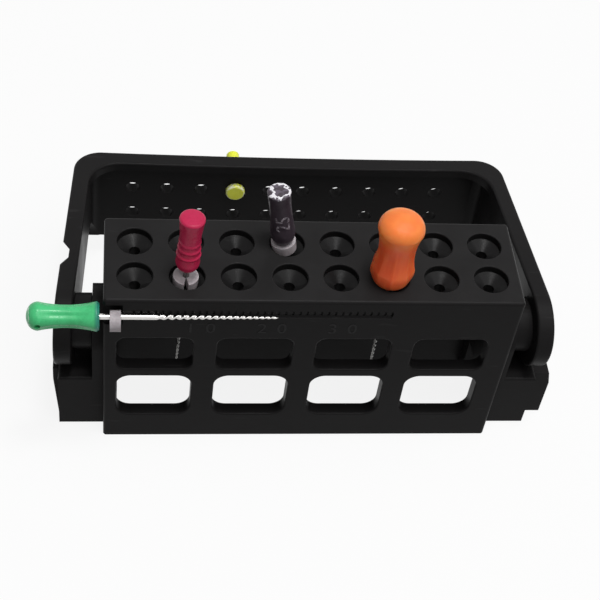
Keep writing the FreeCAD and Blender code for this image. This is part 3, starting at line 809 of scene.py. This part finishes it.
def build_object():
    black = black_plastic()
    rubber = silicone()
    bright_steel = steel("bright_steel", BRIGHT_STEEL_LEVEL)
    # Painted shade: the darker steel copy for the standing blades stands in for their shade
    shaded_steel = steel("shaded_steel", SHADED_STEEL_LEVEL)
    paint_frame_nodes({
        "rack_block": black, "cover": black, "marker_plug": plug_plastic(),
        "pink_stop": rubber, "violet_stop": rubber, "green_stop": rubber})
    files = (("pink", PINK, ridged, pink_plastic(), shaded_steel),
             ("violet", VIOLET, plain, violet_plastic(), shaded_steel),
             ("green", GREEN, grooved, green_plastic(), bright_steel),
             ("orange", ORANGE, faceted, orange_plastic(), shaded_steel))
    for colour, size, ripple, paint, metal in files:
        place, length = file_place(colour)
        fluted_blade(colour, place, length, metal)
        grip = turned_handle(colour, size, ripple, place, paint)
        if colour == "green":
            cut_cord_hole(grip, place)
        if colour == "violet":
            size_number(place, worn_paint())
    scale_numbers(number_plastic())


# Stage

def background_ray(tree):
    """One for rays that show the background: from the camera, off gloss and through clear pieces."""
    path = tree.nodes.new("ShaderNodeLightPath")
    shown = path.outputs["Is Camera Ray"]
    for kind in ("Is Glossy Ray", "Is Transmission Ray"):
        either = tree.nodes.new("ShaderNodeMath")
        either.operation = "MAXIMUM"
        tree.links.new(shown, either.inputs[0])
        tree.links.new(path.outputs[kind], either.inputs[1])
        shown = either.outputs[0]
    return shown


def two_shaders(tree, share, first, second, output_kind):
    """Joins two shaders by a share into the output of an emptied node tree."""
    mixer = tree.nodes.new("ShaderNodeMixShader")
    output = tree.nodes.new(output_kind)
    tree.links.new(share, mixer.inputs["Fac"])
    tree.links.new(first.outputs[0], mixer.inputs[1])
    tree.links.new(second.outputs[0], mixer.inputs[2])
    tree.links.new(mixer.outputs[0], output.inputs["Surface"])


def floor():
    """Pale floor that the background's rays see almost white, with the object's soft shadow."""
    bpy.ops.mesh.primitive_plane_add(size=FLOOR_SIZE * MM)
    plane = bpy.context.object
    plane.name = "floor"
    made = bpy.data.materials.new("floor")
    made.use_nodes = True
    tree = made.node_tree
    tree.nodes.clear()
    seen = background_ray(tree)
    tone = tree.nodes.new("ShaderNodeMix")
    tone.data_type = "RGBA"
    for socket, grey in (("A", FLOOR_GREY), ("B", FLOOR_SEEN_GREY)):
        tone.inputs[socket].default_value = (grey, grey, grey, 1)
    tree.links.new(seen, tone.inputs["Factor"])
    body = tree.nodes.new("ShaderNodeBsdfDiffuse")
    tree.links.new(tone.outputs["Result"], body.inputs["Color"])
    share = tree.nodes.new("ShaderNodeMath")
    share.operation = "MULTIPLY"
    share.inputs[1].default_value = FLOOR_WHITE_SHARE
    tree.links.new(seen, share.inputs[0])
    white = tree.nodes.new("ShaderNodeEmission")
    white.inputs["Strength"].default_value = 1.0
    two_shaders(tree, share.outputs[0], body, white, "ShaderNodeOutputMaterial")
    plane.data.materials.append(made)


def world():
    """Plain grey surroundings, white to the background's rays."""
    made = bpy.data.worlds.new("surroundings")
    bpy.context.scene.world = made
    made.use_nodes = True
    tree = made.node_tree
    tree.nodes.clear()
    lights = []
    for strength in (WORLD_LEVEL, 1.0):
        light = tree.nodes.new("ShaderNodeBackground")
        light.inputs["Color"].default_value = (1, 1, 1, 1)
        light.inputs["Strength"].default_value = strength
        lights.append(light)
    two_shaders(tree, background_ray(tree), *lights, "ShaderNodeOutputWorld")


def lamp(name, place, aim, size, watts):
    """A square soft lamp that points at a spot."""
    light = bpy.data.lights.new(name, "AREA")
    light.shape = "SQUARE"
    light.size = size
    light.energy = watts
    holder = bpy.data.objects.new(name, light)
    bpy.context.scene.collection.objects.link(holder)
    holder.location = place
    holder.rotation_euler = (Vector(aim) - Vector(place)).to_track_quat("-Z", "Y").to_euler()


def camera():
    data = bpy.data.cameras.new("camera")
    data.lens = CAMERA_LENS
    data.sensor_width = CAMERA_SENSOR
    data.clip_start = CAMERA_CLIP_START * MM
    data.clip_end = CAMERA_CLIP_END * MM
    holder = bpy.data.objects.new("camera", data)
    bpy.context.scene.collection.objects.link(holder)
    holder.location = CAMERA_PLACE
    holder.rotation_euler = Euler([math.radians(turn) for turn in CAMERA_TURN_DEG], "XYZ")
    bpy.context.scene.camera = holder


build_object()
floor()
world()
for settings in LAMPS:
    lamp(*settings)
camera()
bpy.context.scene.view_settings.view_transform = "Standard"
